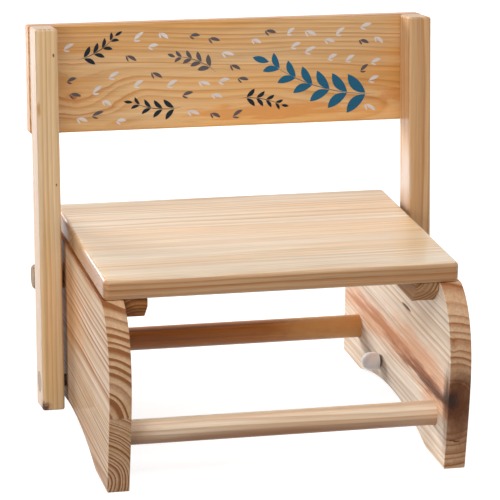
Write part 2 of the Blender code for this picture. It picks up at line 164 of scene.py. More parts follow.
def side_corners():
    """The side panel's outline in depth and height: up the front, down the rear, along the arch."""
    front_foot = (side_front_y + front_foot_setback, 0)
    front_bow = (side_front_y, front_bow_height)
    front_top = (seat_low.y, side_top)
    rear_top = (seat_high.y, side_top)
    rear_bow = (side_rear_y, rear_bow_height)
    rear_foot = (side_rear_y - rear_foot_setback, 0)
    arch_radius = (arch_rise ** 2 + arch_half_span ** 2) / (2 * arch_rise)
    drop = arch_radius - arch_rise
    slope = math.acos((arch_foot_radius + drop) / (arch_radius + arch_foot_radius))
    foot_y = (arch_radius + arch_foot_radius) * math.sin(slope)
    meet_y = arch_radius * math.sin(slope)
    meet_z = arch_radius * math.cos(slope) - drop
    foot_pull = 4 / 3 * math.tan(slope / 4) * arch_foot_radius
    arch_pull = 4 / 3 * math.tan(slope / 2) * arch_radius
    run, climb = math.cos(slope), math.sin(slope)
    rear_arch = [
        ((foot_y, 0), (foot_y, 0), (foot_y - foot_pull, 0)),
        ((meet_y, meet_z), (meet_y + foot_pull * run, meet_z - foot_pull * climb),
         (meet_y - arch_pull * run, meet_z + arch_pull * climb)),
    ]
    front_arch = [
        tuple((-y, z) for y, z in (point, after, before))
        for point, before, after in reversed(rear_arch)
    ]
    return [
        (front_foot, front_foot, part_way(front_foot, front_bow, front_foot_bend)),
        (front_bow, part_way(front_foot, front_bow, front_bow_bends[0]),
         part_way(front_bow, front_top, front_bow_bends[1])),
        (front_top, part_way(front_bow, front_top, front_top_bend), front_top),
        (rear_top, rear_top, part_way(rear_bow, rear_top, rear_top_bend)),
        (rear_bow, part_way(rear_bow, rear_top, rear_bow_bends[0]),
         part_way(rear_foot, rear_bow, rear_bow_bends[1])),
        (rear_foot, part_way(rear_foot, rear_bow, rear_foot_bend), rear_foot),
        *rear_arch, *front_arch,
    ]


def close_up(weld):
    """Merges the corners closer than weld, turns the faces outwards and ends edit mode."""
    bpy.ops.mesh.select_all(action="SELECT")
    bpy.ops.mesh.remove_doubles(threshold=weld)
    bpy.ops.mesh.normals_make_consistent(inside=False)
    bpy.ops.object.mode_set(mode="OBJECT")


def saw_side(hand_sign):
    """Saws one side panel from its outline and eases its edges."""
    piece = outline_curve(side_corners())
    bpy.ops.object.convert(target="MESH")
    bpy.ops.object.mode_set(mode="EDIT")
    bpy.ops.mesh.select_all(action="SELECT")
    bpy.ops.mesh.remove_doubles(threshold=outline_weld)
    bpy.ops.mesh.edge_face_add()
    bpy.ops.mesh.extrude_region_move(TRANSFORM_OT_translate={"value": (0, 0, side_thickness)})
    close_up(outline_weld)
    piece.rotation_euler = (math.pi / 2, 0, math.pi / 2)
    piece.location.x = side_inner_x if hand_sign > 0 else -side_outer_x
    bpy.ops.object.transform_apply()
    apply_modifier(
        piece, "BEVEL", width=side_edge_round, segments=side_edge_steps, limit_method="ANGLE",
        angle_limit=sharp_edge,
    )
    return piece


def middle_of(node):
    low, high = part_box(node)
    return (low + high) / 2


def bore_side(piece, hand_sign):
    """Bores one side panel for the two rails, the stop peg and the pivot bolt."""
    cutters = []
    for rail in ("front_rail", "rear_rail"):
        low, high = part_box(rail)
        _, y, z = middle_of(rail)
        depth = bore_run + high.x - side_inner_x + joint_gap
        cutters.append(drill(
            high.z - low.z + 2 * joint_gap, (hand_sign * (side_inner_x - bore_run), y, z),
            (hand_sign, 0, 0), depth,
        ))
    low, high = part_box("right_stop_peg")
    for node, bore, depth in (
        ("right_stop_peg", high.z - low.z + 2 * joint_gap,
         bore_run + side_outer_x - low.x + joint_gap),
        ("right_spacer", bolt_hole, side_thickness + 2 * bore_run),
    ):
        _, y, z = middle_of(node)
        start = (hand_sign * (side_outer_x + bore_run), y, z)
        cutters.append(drill(bore, start, (-hand_sign, 0, 0), depth))
    cut_away(piece, cutters)


def feed(node, inputs):
    """Gives each of a node's sockets its value, or links it to the output that feeds it."""
    for socket, value in inputs.items():
        if isinstance(value, bpy.types.NodeSocket):
            node.id_data.links.new(value, node.inputs[socket])
        else:
            node.inputs[socket].default_value = value


def add_node(tree, kind, inputs=None, **settings):
    """Adds a node; a shader node's kind is named without its ShaderNode."""
    node = tree.nodes.new(kind if kind.startswith("NodeGroup") else f"ShaderNode{kind}")
    for name, value in settings.items():
        setattr(node, name, value)
    feed(node, inputs or {})
    return node


def tree_of(*values):
    """The node tree that holds the first socket among the values."""
    return next(value.id_data for value in values if isinstance(value, bpy.types.NodeSocket))


def arithmetic(operation, *values, clamp=False):
    inputs = dict(enumerate(values))
    node = add_node(tree_of(*values), "Math", inputs, operation=operation, use_clamp=clamp)
    return node.outputs[0]


def vectors(operation, first, second=None):
    """Arithmetic on vectors or colours. LENGTH takes one, and SCALE one and a number."""
    inputs = {0: first}
    if second is not None:
        inputs["Scale" if operation == "SCALE" else 1] = second
    node = add_node(tree_of(first, second), "VectorMath", inputs, operation=operation)
    return node.outputs["Value" if operation in ("LENGTH", "DOT_PRODUCT") else "Vector"]


def mix_colours(share, under, over):
    inputs = {0: share, 6: under, 7: over}
    return add_node(tree_of(share, under), "Mix", inputs, data_type="RGBA").outputs[2]


def noise(place, stretch, detail=2.0, roughness=0.5):
    """Noise whose grains are 1 / stretch long along each axis."""
    return add_node(
        place.id_data, "TexNoise",
        {"Vector": vectors("MULTIPLY", place, stretch), "Scale": 1.0, "Detail": detail,
         "Roughness": roughness},
    )


def start_group(name, inputs, outputs):
    """A new node group and what it is given: numbers, vectors of three and colours of four."""
    tree = bpy.data.node_groups.new(name, "ShaderNodeTree")
    kinds = {1: "NodeSocketFloat", 3: "NodeSocketVector", 4: "NodeSocketColor"}
    for socket_name, value in inputs.items():
        kind = kinds[len(value) if isinstance(value, tuple) else 1]
        socket = tree.interface.new_socket(socket_name, in_out="INPUT", socket_type=kind)
        socket.default_value = value
    for socket_name, size in outputs.items():
        tree.interface.new_socket(socket_name, in_out="OUTPUT", socket_type=kinds[size])
    return tree, add_node(tree, "NodeGroupInput").outputs


def make_pine_grain():
    """Pine: growth rings round a pith that runs along X through zero, with streaks and fibres."""
    tree, given = start_group(
        "pine_grain",
        {"Position": (0, 0, 0), "Ring Gap": 0.003, "Crowding": 0.0, "Sway": 0.01, "Bulge": 0.0,
         "Ring Strength": 0.7, "Streaks": 0.3, "Matt": 0.0, "Early Wood": (0.8, 0.6, 0.4, 1),
         "Warm Wood": (0.75, 0.5, 0.3, 1), "Late Wood": (0.5, 0.26, 0.1, 1), "Edge": 0.0,
         "Edge Tint": (1, 1, 1, 1)},
        {"Colour": 4, "Roughness": 1, "Height": 1},
    )
    position = given["Position"]

    # The rings: how far each point lies from the swaying pith, counted in years.
    slow = noise(position, (4.5, 20, 20), detail=1.5).outputs["Color"]
    sway = vectors("SCALE", vectors("SUBTRACT", slow, (0.5, 0.5, 0.5)), given["Sway"])
    across = vectors("MULTIPLY", vectors("ADD", position, sway), (0, 1, 1))
    radius = arithmetic("ADD", vectors("LENGTH", across), given["Bulge"])
    crowd = arithmetic("MULTIPLY_ADD", radius, given["Crowding"], 1.0)
    rings = arithmetic("DIVIDE", arithmetic("MULTIPLY", radius, crowd), given["Ring Gap"])
    uneven = add_node(
        tree, "TexNoise",
        {"W": arithmetic("MULTIPLY", rings, 0.37), "Scale": 1.0, "Detail": 1.0},
        noise_dimensions="1D",
    ).outputs["Fac"]
    rings = arithmetic("MULTIPLY_ADD", arithmetic("SUBTRACT", uneven, 0.5), 2.2, rings)
    year = arithmetic("FLOOR", rings)
    season = arithmetic("FRACT", rings)
    late = add_node(tree, "ValToRGB", {"Fac": season})
    ramp = late.color_ramp
    ramp.interpolation = "EASE"
    for place, shade in ((0.09, 0.0), (0.40, 0.08), (0.76, 0.62), (0.92, 1.0)):
        ramp.elements.new(place).color = (shade, shade, shade, 1)
    ramp.elements[0].color = (0.5, 0.5, 0.5, 1)
    ramp.elements[-1].color = (0.5, 0.5, 0.5, 1)
    white = add_node(tree, "TexWhiteNoise", {"W": year}, noise_dimensions="1D")
    chance = arithmetic("MULTIPLY_ADD", white.outputs["Value"], 0.75, 0.35)
    strength = arithmetic("MULTIPLY", chance, given["Ring Strength"])
    boost = arithmetic("MULTIPLY_ADD", given["Edge"], 0.9, 1.0)
    strength = arithmetic("MULTIPLY", strength, boost)
    dark = arithmetic("MULTIPLY", late.outputs["Color"], strength, clamp=True)

    # The ground between the rings: warm patches and bands, then fine streaks and fibres.
    streak = noise(position, (6, 420, 420), detail=4, roughness=0.65).outputs["Fac"]
    fibre = noise(position, (35, 1500, 1500), detail=2).outputs["Fac"]
    patch = noise(position, (2.5, 22, 22), detail=2).outputs["Fac"]
    band = noise(position, (3.5, 95, 95), detail=2).outputs["Fac"]
    tone = arithmetic("MULTIPLY", arithmetic("ADD", patch, band), 0.5)
    warmth = add_node(
        tree, "MapRange", {"Value": tone, "From Min": 0.40, "From Max": 0.60}
    ).outputs["Result"]
    ground = mix_colours(warmth, given["Early Wood"], given["Warm Wood"])
    ringed = mix_colours(dark, ground, given["Late Wood"])
    tint = mix_colours(given["Edge"], (1, 1, 1, 1), given["Edge Tint"])
    tinted = vectors("MULTIPLY", ringed, tint)
    wave = arithmetic("MULTIPLY_ADD", fibre, 0.5, arithmetic("SUBTRACT", streak, 0.75))
    light = arithmetic("MULTIPLY_ADD", wave, given["Streaks"], 1.0)
    shaded = vectors("SCALE", tinted, light)
    roughness = arithmetic("MULTIPLY_ADD", streak, 0.16, 0.28)
    roughness = arithmetic("MULTIPLY_ADD", given["Edge"], 0.10, roughness)
    roughness = arithmetic("ADD", roughness, given["Matt"])
    height = arithmetic("MULTIPLY_ADD", dark, 0.35, arithmetic("MULTIPLY", fibre, 0.6))
    add_node(
        tree, "NodeGroupOutput", {"Colour": shaded, "Roughness": roughness, "Height": height}
    )
    return tree


def make_mark_and_light_patch():
    """A knot, a crack, one of the wood's stains, or a patch of painted shade or painted reflection:
    a soft oval about its centre, with a ragged edge.
    """
    tree, given = start_group(
        "mark_and_light_patch",
        {"Position": (0, 0, 0), "Centre": (0, 0, 0), "Size": (0.01, 0.01, 0.01), "Ragged": 0.5,
         "Softness": 0.5},
        {"Mask": 1},
    )
    away = vectors("SUBTRACT", given["Position"], given["Centre"])
    away = vectors("DIVIDE", away, given["Size"])
    far = vectors("LENGTH", away)
    fray = noise(away, (3, 3, 3), detail=3, roughness=0.6).outputs["Fac"]
    ragged = arithmetic("MULTIPLY", given["Ragged"], 2.0)
    fray = arithmetic("MULTIPLY", arithmetic("SUBTRACT", fray, 0.5), ragged)
    inner = arithmetic("SUBTRACT", 1.0, given["Softness"])
    mask = add_node(
        tree, "MapRange",
        {"Value": arithmetic("ADD", far, fray), "From Min": 1.0, "From Max": inner},
        interpolation_type="SMOOTHSTEP",
    ).outputs["Result"]
    add_node(tree, "NodeGroupOutput", {"Mask": mask})
    return tree


def mark_mask(place, centre, size, ragged, softness):
    """How strong a knot, crack, one of the wood's stains, or a patch of painted shade or painted
    reflection is at each place, from 0 to 1.
    """
    return add_node(
        place.id_data, "Group",
        {"Position": place, "Centre": centre, "Size": size, "Ragged": ragged,
         "Softness": softness},
        node_tree=mark_and_light_patch,
    ).outputs["Mask"]


pine_grain = make_pine_grain()
mark_and_light_patch = make_mark_and_light_patch()
grain_relief, grain_height = 0.25, 0.0002
face_on, edge_on = 0.9, 0.35  # how squarely a face looks along the wide faces' direction
grain_along = {
    "x": Matrix.Identity(3),
    "y": Matrix.Rotation(math.pi / 2, 3, "Z"),
    "z": Matrix.Rotation(-math.pi / 2, 3, "Y"),
}


def start_surface(name):
    """A new material, its shader, and the place and normal on the piece."""
    made = bpy.data.materials.new(name)
    made.use_nodes = True
    shader = made.node_tree.nodes["Principled BSDF"]
    return made, shader, add_node(made.node_tree, "TexCoord").outputs


def pine(name, along, glue_axis, staves, early, warm, late, sway=0.010, streaks=0.6,
         crowding=0.0, flat=None, edge_tint=(1, 1, 1), knots=(), gloss=0.16, lacquer=0.3,
         matt=0.0, sheen=0.25):
    """Lacquered pine. Each stave holds its upper limit on the glue axis, a point on its pith,
    the pith's turn in degrees, its ring gap, how strong its rings are and its shade. The faces
    along flat are wide ones and the others take the edge tint; each knot holds a centre, a size
    and how far it bends the rings."""
    made, shader, place = start_surface(name)
    tree = made.node_tree
    split = add_node(tree, "SeparateXYZ", {0: place["Object"]})
    chosen = None
    for limit, pith, turn, gap, rings, shade in staves:
        turned = Matrix.Identity(3)
        for axis, degrees in zip("XYZ", turn):
            turned = turned @ Matrix.Rotation(math.radians(degrees), 3, axis)
        turned = turned @ grain_along[along]
        mapped = add_node(
            tree, "Mapping",
            {"Vector": place["Object"], "Location": pith, "Rotation": turned.to_euler("XYZ")},
            vector_type="TEXTURE",
        ).outputs[0]
        if chosen is None:
            chosen = [mapped, gap, rings, shade]
        else:
            past = arithmetic("GREATER_THAN", split.outputs[glue_axis], last_limit)
            vector = add_node(
                tree, "Mix", {0: past, 4: chosen[0], 5: mapped}, data_type="VECTOR"
            ).outputs[1]
            mixed = [
                add_node(tree, "Mix", {0: past, 2: old, 3: new}).outputs[0]
                for old, new in zip(chosen[1:], (gap, rings, shade))
            ]
            chosen = [vector, *mixed]
        last_limit = limit
    wide = flat or grain_along[along] @ Vector((1, 0, 0))
    facing = arithmetic("ABSOLUTE", vectors("DOT_PRODUCT", place["Normal"], wide))
    edge = add_node(
        tree, "MapRange",
        {"Value": facing, "From Min": face_on if flat else edge_on,
         "From Max": edge_on if flat else face_on},
    ).outputs["Result"]
    bulge = 0.0
    for centre, size, reach in knots:
        mask = mark_mask(place["Object"], centre, size, ragged=0.1, softness=1.0)
        bulge = arithmetic("MULTIPLY_ADD", mask, reach, bulge)
    grain = add_node(
        tree, "Group",
        {"Position": chosen[0], "Ring Gap": chosen[1], "Crowding": crowding, "Sway": sway,
         "Bulge": bulge, "Ring Strength": chosen[2], "Streaks": streaks, "Matt": matt,
         "Early Wood": (*early, 1), "Warm Wood": (*warm, 1), "Late Wood": (*late, 1),
         "Edge": edge, "Edge Tint": (*edge_tint, 1)},
        node_tree=pine_grain,
    ).outputs
    bump = add_node(
        tree, "Bump",
        {"Height": grain["Height"], "Strength": grain_relief, "Distance": grain_height},
    )
    feed(shader, {
        "Base Color": vectors("SCALE", grain["Colour"], chosen[3]),
        "Roughness": grain["Roughness"], "Normal": bump.outputs["Normal"],
        "Specular IOR Level": sheen, "Coat Weight": lacquer, "Coat Roughness": gloss,
    })
    return made


def put_marks_and_painted_light(surface, *marks):
    """Puts knots, stains and cracks into a wood, and patches of painted shade and painted
    reflection. Each mark holds its centre, size and colour, its strength, how ragged its edge is,
    and how soft."""
    tree = surface.node_tree
    base = tree.nodes["Principled BSDF"].inputs["Base Color"]
    place = tree.nodes["Texture Coordinate"].outputs["Object"]
    for centre, size, colour, strength, ragged, softness in marks:
        mask = mark_mask(place, centre, size, ragged, softness)
        share = arithmetic("MULTIPLY", mask, strength)
        tree.links.new(mix_colours(share, base.links[0].from_socket, (*colour, 1)), base)


# The left panel's pale ground is partly painted sheen: the white sheen on its outer face is put
# into its colours, and its base has no specular sheen of its own.
left_side_pine = pine(
    "left_side_pine", "y", "Z",
    [
        (0.072, (-0.189, 0.3, 0.006), (0, 0, 0), 0.0038, 0.95, 0.93),
        (1.0, (-0.178, 0.0, 0.069), (0, 0, 0), 0.0084, 1.1, 1.0),
    ],
    (0.72, 0.55, 0.42), (0.61, 0.43, 0.27), (0.31, 0.135, 0.06), crowding=2.0,
    flat=(1, 0, 0), edge_tint=(0.95, 0.80, 0.63), gloss=0.07, lacquer=0.14, sheen=0.0,
)
put_marks_and_painted_light(
    left_side_pine,
    # Painted shade and reflection: a darker, more orange band on the outer face beside the upright.
    ((-0.167, 0.030, 0.115), (0.004, 0.110, 0.075), (0.62, 0.26, 0.06), 0.6, 0.5, 0.9),
    ((-0.160, -0.170, 0.079), (0.0025, 0.006, 0.002), (0.42, 0.12, 0.06), 0.7, 0.5, 0.5),
    # Darker towards the foot of the outer face, all along its length.
    ((-0.167, -0.020, 0.010), (0.004, 0.200, 0.045), (0.44, 0.24, 0.11), 0.5, 0.4, 0.9),
)
# The right panel's very pale ground is partly painted light: the wood is made paler to stand in for
# the light and sheen on its inner face, and its edge tint makes the front edge darker.
right_side_pine = pine(
    "right_side_pine", "y", "Z", [(1.0, (0.150, 0.7, 0.0705), (0, 0, 0), 0.0052, 0.6, 1.0)],
    (0.98, 0.86, 0.72), (0.93, 0.76, 0.59), (0.46, 0.21, 0.08), streaks=0.8, crowding=-2.5,
    flat=(1, 0, 0), edge_tint=(0.69, 0.50, 0.36),
    knots=[((0.150, -0.170, 0.120), (0.006, 0.03, 0.009), 0.004)], lacquer=0.08, matt=0.22,
)
pink_heart, dark_heart = (0.76, 0.38, 0.20), (0.28, 0.09, 0.025)
crack = (0.1467, -0.036, 0.1134)
fleck_size, fleck_colour = (0.004, 0.010, 0.0009), (0.12, 0.05, 0.02)
put_marks_and_painted_light(
    right_side_pine,
    ((0.147, 0.110, 0.065), (0.020, 0.200, 0.024), pink_heart, 0.65, 0.9, 0.9),
    ((0.147, -0.080, 0.078), (0.020, 0.190, 0.027), pink_heart, 0.75, 0.9, 0.9),
    ((0.147, -0.135, 0.052), (0.012, 0.075, 0.015), pink_heart, 0.6, 0.9, 0.9),
    ((0.147, 0.020, 0.069), (0.016, 0.240, 0.012), (0.54, 0.20, 0.08), 0.8, 1.3, 0.8),
    ((0.147, -0.100, 0.0645), (0.013, 0.140, 0.012), dark_heart, 1.0, 1.1, 0.9),
    ((0.147, -0.130, 0.063), (0.013, 0.090, 0.006), (0.09, 0.028, 0.012), 0.9, 1.1, 0.9),
    ((0.158, -0.172, 0.054), (0.030, 0.020, 0.058), (0.25, 0.10, 0.04), 0.82, 0.4, 0.8),
    ((0.155, -0.172, 0.068), (0.030, 0.020, 0.042), (0.10, 0.026, 0.005), 0.92, 0.4, 0.8),
    ((0.1495, -0.172, 0.068), (0.010, 0.020, 0.014), (0.02, 0.006, 0.002), 0.95, 0.5, 0.8),
    (crack, (0.002, 0.019, 0.0026), (0.42, 0.22, 0.10), 0.8, 0.2, 0.6),
    (crack, (0.002, 0.016, 0.0013), (0.02, 0.005, 0.001), 1.0, 0.4, 0.3),
    ((0.148, -0.165, 0.172), fleck_size, fleck_colour, 1.0, 0.4, 0.3),
    ((0.1565, -0.171, 0.0275), fleck_size, fleck_colour, 1.0, 0.4, 0.3),
    ((0.1525, -0.170, 0.0288), fleck_size, fleck_colour, 1.0, 0.4, 0.3),
)
side_pines = {"left": left_side_pine, "right": right_side_pine}
hands = {"left": -1, "right": 1}
for hand, hand_sign in hands.items():
    side = saw_side(hand_sign)
    bore_side(side, hand_sign)
    finish_piece(
        side, f"{hand}_shaped_side", side_pines[hand], "panel_pine", "stool",
        f"{hand}_side_panel",
    )

# Rails: two round pine rods between the side panels, low down at the front and at the rear.
# They are turned, sanded, and glued into blind holes in both panels.
rail_facets = 64
rail_end_ease = 0.0006
turned_weld = 0.00001


def select_edges(piece, wanted):
    """Selects, in edit mode, the edges for which wanted(middle, direction) is true."""
    bpy.ops.mesh.select_mode(type="EDGE")
    bpy.ops.mesh.select_all(action="DESELECT")
    mesh = bmesh.from_edit_mesh(piece.data)
    for edge in mesh.edges:
        first, second = (corner.co for corner in edge.verts)
        if wanted((first + second) / 2, (second - first).normalized()):
            edge.select = True
    mesh.select_flush_mode()
    bmesh.update_edit_mesh(piece.data)


def round_span(node, way):
    """Where a round CAD piece starts along X, seen the way that is given as 1 or -1, its length
    and its radius."""
    low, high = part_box(node)
    start = middle_of(node)
    start.x = low.x if way > 0 else high.x
    return start, high.x - low.x, (high.z - low.z) / 2


def turn_piece(profile, facets, start, aim, hollow=False):
    """Turns a round piece: the profile holds (distance, radius) from start towards aim. A hollow
    one ends where it starts."""
    deselect()
    along, radius = profile[0]
    bpy.ops.mesh.primitive_circle_add(
        vertices=facets, radius=radius, location=(0, 0, along),
        fill_type="NOTHING" if hollow else "NGON",
    )
    piece = bpy.context.object
    bpy.ops.object.transform_apply()
    bpy.ops.object.mode_set(mode="EDIT")
    bpy.ops.mesh.select_all(action="SELECT")
    for next_along, next_radius in profile[1:]:
        bpy.ops.mesh.extrude_region_move(
            TRANSFORM_OT_translate={"value": (0, 0, next_along - along)}
        )
        if next_radius:
            share = next_radius / radius
            bpy.ops.transform.resize(value=(share, share, 1), center_override=(0, 0, next_along))
        else:
            bpy.ops.mesh.merge(type="CENTER")
        along, radius = next_along, next_radius
    close_up(turned_weld)
    piece.rotation_euler = Vector(aim).to_track_quat("Z", "Y").to_euler()
    piece.location = start
    bpy.ops.object.transform_apply()
    return piece


front_rail_pine = pine(
    "front_rail_pine", "x", "Z", [(1.0, (0.2, -0.1331, 0.022), (0, 0.6, 0), 0.0034, 0.6, 1.0)],
    (0.94, 0.77, 0.58), (0.90, 0.63, 0.41), (0.52, 0.25, 0.11), sway=0.005, lacquer=0.15,
    matt=0.08,
)
rear_rail_pine = pine(
    "rear_rail_pine", "x", "Z", [(1.0, (0.9, 0.1218, 0.034), (0, 1.2, 0), 0.0085, 0.9, 1.0)],
    (0.63, 0.26, 0.07), (0.55, 0.20, 0.05), (0.24, 0.065, 0.015), sway=0.006, lacquer=0.2,
    matt=0.05,
)
put_marks_and_painted_light(
    front_rail_pine,
    # Painted shade: the lower half of the rail is darker.
    ((0.000, -0.135, 0.030), (0.400, 0.050, 0.021), (0.35, 0.14, 0.045), 1.0, 0.2, 0.8),
    # Painted shade and reflection: the rail's left end is darker and browner, where the left
    # panel's shade falls on it and is reflected in it.
    ((-0.155, -0.140, 0.040), (0.050, 0.030, 0.018), (0.46, 0.22, 0.09), 0.7, 0.4, 0.9),
)
put_marks_and_painted_light(
    rear_rail_pine,
    ((0.120, 0.118, 0.045), (0.090, 0.040, 0.040), (0.82, 0.45, 0.17), 0.75, 0.6, 0.9),
)
for rail, surface in (("front_rail", front_rail_pine), ("rear_rail", rear_rail_pine)):
    start, length, radius = round_span(rail, 1)
    rod = turn_piece(
        [(0, radius - rail_end_ease), (rail_end_ease, radius), (length - rail_end_ease, radius),
         (length, radius - rail_end_ease)],
        rail_facets, start, (1, 0, 0),
    )
    finish_piece(rod, f"{rail}_rod", surface, "rail_pine", "stool", rail)

# Seat cleats: two square pine strips under the seat, one against each side panel. The lower
# corner of each end is sawn off, and each strip is countersunk for its four screws.
cleat_end_bevel = 0.0125
cleat_edge_round = 0.001
screw_head_diameter = 0.0072
screw_head_height = 0.0026
screw_shank_diameter = 0.0035
screw_bore_facets = 24


def saw_bar(low, high, turn=(0, 0, 0)):
    """A square-edged bar between two corners, or one that is turned about its middle."""
    deselect()
    bpy.ops.mesh.primitive_cube_add(
        size=1, location=(Vector(low) + Vector(high)) / 2, rotation=turn,
        scale=Vector(high) - Vector(low),
    )
    bpy.ops.object.transform_apply(location=False, rotation=False, scale=True)
    return bpy.context.object


def ease_edges(piece, width, steps, wanted=lambda middle, direction: True):
    """Rounds the edges of a piece for which wanted(middle, direction) is true."""
    make_active(piece)
    bpy.ops.object.mode_set(mode="EDIT")
    select_edges(piece, wanted)
    bpy.ops.mesh.bevel(offset=width, segments=steps, profile=0.5, affect="EDGES")
    bpy.ops.object.mode_set(mode="OBJECT")


def countersink(start, aim, depth):
    """The cutter for a screw's hole, from the face where its head sits to the given depth."""
    head = screw_head_diameter / 2 + joint_gap
    shank = screw_shank_diameter / 2 + joint_gap
    return turn_piece(
        [(-bore_run, head), (0, head), (screw_head_height, shank), (depth + bore_run, shank)],
        screw_bore_facets, start, aim,
    )


def screw_head(screw, aim):
    """The middle of a CAD screw's head, and the axis along which the screw lies."""
    low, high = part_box(screw)
    place = middle_of(screw)
    axis = [abs(share) for share in aim].index(1)
    place[axis] = low[axis] if aim[axis] > 0 else high[axis]
    return place, axis


cleat_pines = {
    "left": pine(
        "left_cleat_pine", "y", "Z", [(1.0, (-0.128, 0.5, 0.130), (0, 0, 0), 0.0040, 0.9, 1.0)],
        (0.41, 0.17, 0.05), (0.35, 0.13, 0.035), (0.18, 0.055, 0.015), lacquer=0, matt=0.3,
    ),
    "right": pine(
        "right_cleat_pine", "y", "Z", [(1.0, (0.118, 0.9, 0.175), (0, 0, 0), 0.0040, 0.9, 1.0)],
        (0.53, 0.32, 0.17), (0.45, 0.255, 0.13), (0.24, 0.10, 0.035), lacquer=0, matt=0.3,
    ),
}
for hand, hand_sign in hands.items():
    low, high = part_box(f"{hand}_seat_cleat")
    strip = saw_bar(low, high)
    bottom = -(high.z - low.z) / 2
    ease_edges(
        strip, cleat_end_bevel, steps=1,
        wanted=lambda middle, direction: middle.z < bottom * 0.9 and abs(direction.x) > 0.9,
    )
    ease_edges(strip, cleat_edge_round, steps=3)
    bpy.ops.object.transform_apply()
    for kind, aim in (("seat", (0, 0, 1)), ("side", (hand_sign, 0, 0))):
        heads = [screw_head(f"{hand}_{kind}_screw_{number}", aim) for number in (1, 2)]
        cut_away(strip, [
            countersink(place, aim, high[axis] - low[axis]) for place, axis in heads
        ])
    finish_piece(
        strip, f"{hand}_cleat_strip", cleat_pines[hand], "cleat_pine", "stool",
        f"{hand}_seat_cleat",
    )

# Seat board: one panel of edge-glued pine staves, planed and lacquered. Its corners are cut
# round, its upper rim is well rounded for the backs of the knees, and its underside is eased.
seat_corner_radius = 0.006
seat_top_round = 0.005
seat_bottom_round = 0.003
rim = (seat_high - seat_low).z / 2 - 0.0001  # how far the rims lie from the board's middle
seat = saw_bar(seat_low, seat_high)
for width, steps, wanted in (
    (seat_corner_radius, 8, lambda middle, direction: abs(direction.z) > 0.9),
    (seat_top_round, 7, lambda middle, direction: middle.z > rim),
    (seat_bottom_round, 5, lambda middle, direction: middle.z < -rim),
):
    ease_edges(seat, width, steps, wanted)
# The seat's darker edge tint on its edges and ends is partly the side and end grain's own colour
# and partly painted shade.
seat_pine = pine(
    "seat_pine", "x", "Y",
    [
        (-0.086, (0.0, -0.124, 0.120), (0, 0, 0.6), 0.0042, 0.6, 1.0),
        (0.012, (1.3, -0.037, 0.130), (0, 0, 0.4), 0.0042, 0.4, 1.0),
        (0.084, (2.6, 0.040, 0.206), (0, 0, 0), 0.0056, 0.9, 0.97),
        (1.0, (3.9, 0.105, 0.150), (0, 0, 0), 0.0040, 0.7, 0.94),
    ],
    (0.83, 0.68, 0.51), (0.82, 0.56, 0.325), (0.60, 0.31, 0.105), sway=0.004, streaks=0.8,
    flat=(0, 0, 1), edge_tint=(0.64, 0.46, 0.31), gloss=0.14, lacquer=0.35,
)
put_marks_and_painted_light(
    seat_pine,
    ((-0.165, 0.047, 0.184), (0.005, 0.060, 0.040), (0.20, 0.08, 0.03), 0.55, 0.3, 0.6),
    ((-0.165, -0.080, 0.178), (0.004, 0.075, 0.020), (0.36, 0.20, 0.14), 0.6, 0.3, 0.5),
    ((-0.165, -0.010, 0.178), (0.004, 0.055, 0.014), (0.30, 0.15, 0.06), 0.55, 0.6, 0.8),
)
finish_piece(seat, "seat_top_board", seat_pine, "pale_pine", "stool", "seat_board")

# Stop pegs: two short pine dowels that stick out of the side panels behind the uprights. Each is
# glued into its panel, and its free end is lightly chamfered.
peg_chamfer = 0.0015
peg_facets = 48
peg_pine = pine(
    "peg_pine", "x", "Z", [(1.0, (0.4, 0.070, 0.118), (0, 0, 0), 0.0030, 0.7, 1.0)],
    (0.38, 0.28, 0.20), (0.34, 0.24, 0.17), (0.24, 0.14, 0.08), lacquer=0.05, matt=0.25,
)
for hand, hand_sign in hands.items():
    start, length, radius = round_span(f"{hand}_stop_peg", hand_sign)
    dowel = turn_piece(
        [(0, radius), (length - peg_chamfer, radius), (length, radius - peg_chamfer)],
        peg_facets, start, (hand_sign, 0, 0),
    )
    finish_piece(dowel, f"{hand}_stop_dowel", peg_pine, "peg_pine", "stool", f"{hand}_stop_peg")

# Uprights: two pine bars outside the side panels, which carry the back board. Each swings on a
# bolt near its foot, and a wide bore takes the bolt's head and the plug that covers it.
lean_degrees = 6.94
lean = math.radians(lean_degrees)
pivot = Vector(frame["joints"][0]["pos_m"])
upright_width = 0.0213
upright_depth = 0.034
upright_length = 0.3633
upright_tail = 0.0254
upright_outer_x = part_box("right_upright")[1].x
upright_edge_round = 0.0024
counterbore_diameter = 0.020
counterbore_depth = 0.0095
leaning = Matrix.Translation(pivot) @ Matrix.Rotation(-lean, 4, "X")
rear_facing = (0, 0.9927, -0.1208)  # the way that the back's wide faces look, at that lean


def lean_back(piece):
    """Puts a piece that was made upright about zero onto the leaning back frame."""
    make_active(piece)
    bpy.ops.object.transform_apply()
    piece.matrix_world = leaning
    bpy.ops.object.transform_apply()


